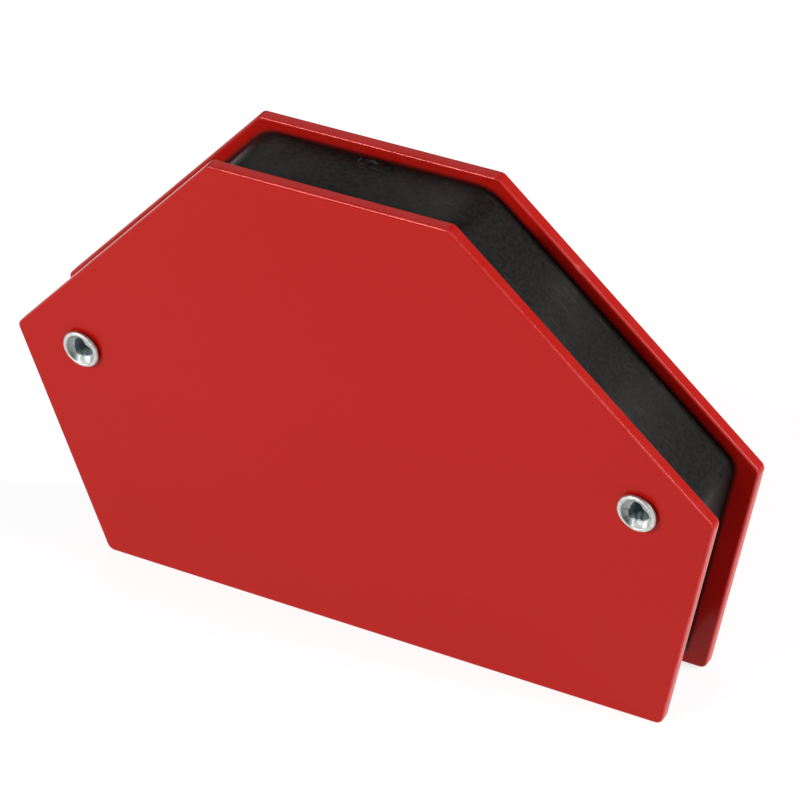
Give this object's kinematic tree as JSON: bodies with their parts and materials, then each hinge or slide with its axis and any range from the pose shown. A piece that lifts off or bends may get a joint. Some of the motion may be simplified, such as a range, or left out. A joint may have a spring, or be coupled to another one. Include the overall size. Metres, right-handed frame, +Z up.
{
  "type": "welding magnet holder",
  "caption": "Flat hexagonal magnetic holder: red steel side plates riveted over a black moulded core, with straight edges that set joint angles for welding.",
  "frame": {"origin": "middle of the base, halfway between the plates, on the surface that the base edges stand on", "axes": "+X along the base to the right as seen from the front, +Y through the thickness from the front plate to the back plate, +Z up"},
  "size_m": [0.1098, 0.0164, 0.0738],
  "materials": {
    "powder_coat": "red gloss powder coat on pressed steel",
    "moulded_core": "black injection-moulded plastic, satin, with fine flow marks",
    "ferrite": "dark grey ground sintered ferrite",
    "zinc_plate": "bright zinc plate on steel"
  },
  "bodies": {
    "root": {"front_plate": "powder_coat", "back_plate": "powder_coat", "core": "moulded_core", "magnet_lower_left": "ferrite", "magnet_lower_right": "ferrite", "magnet_upper": "ferrite", "rivet_left": "zinc_plate", "rivet_right": "zinc_plate"}
  },
  "joints": []
}
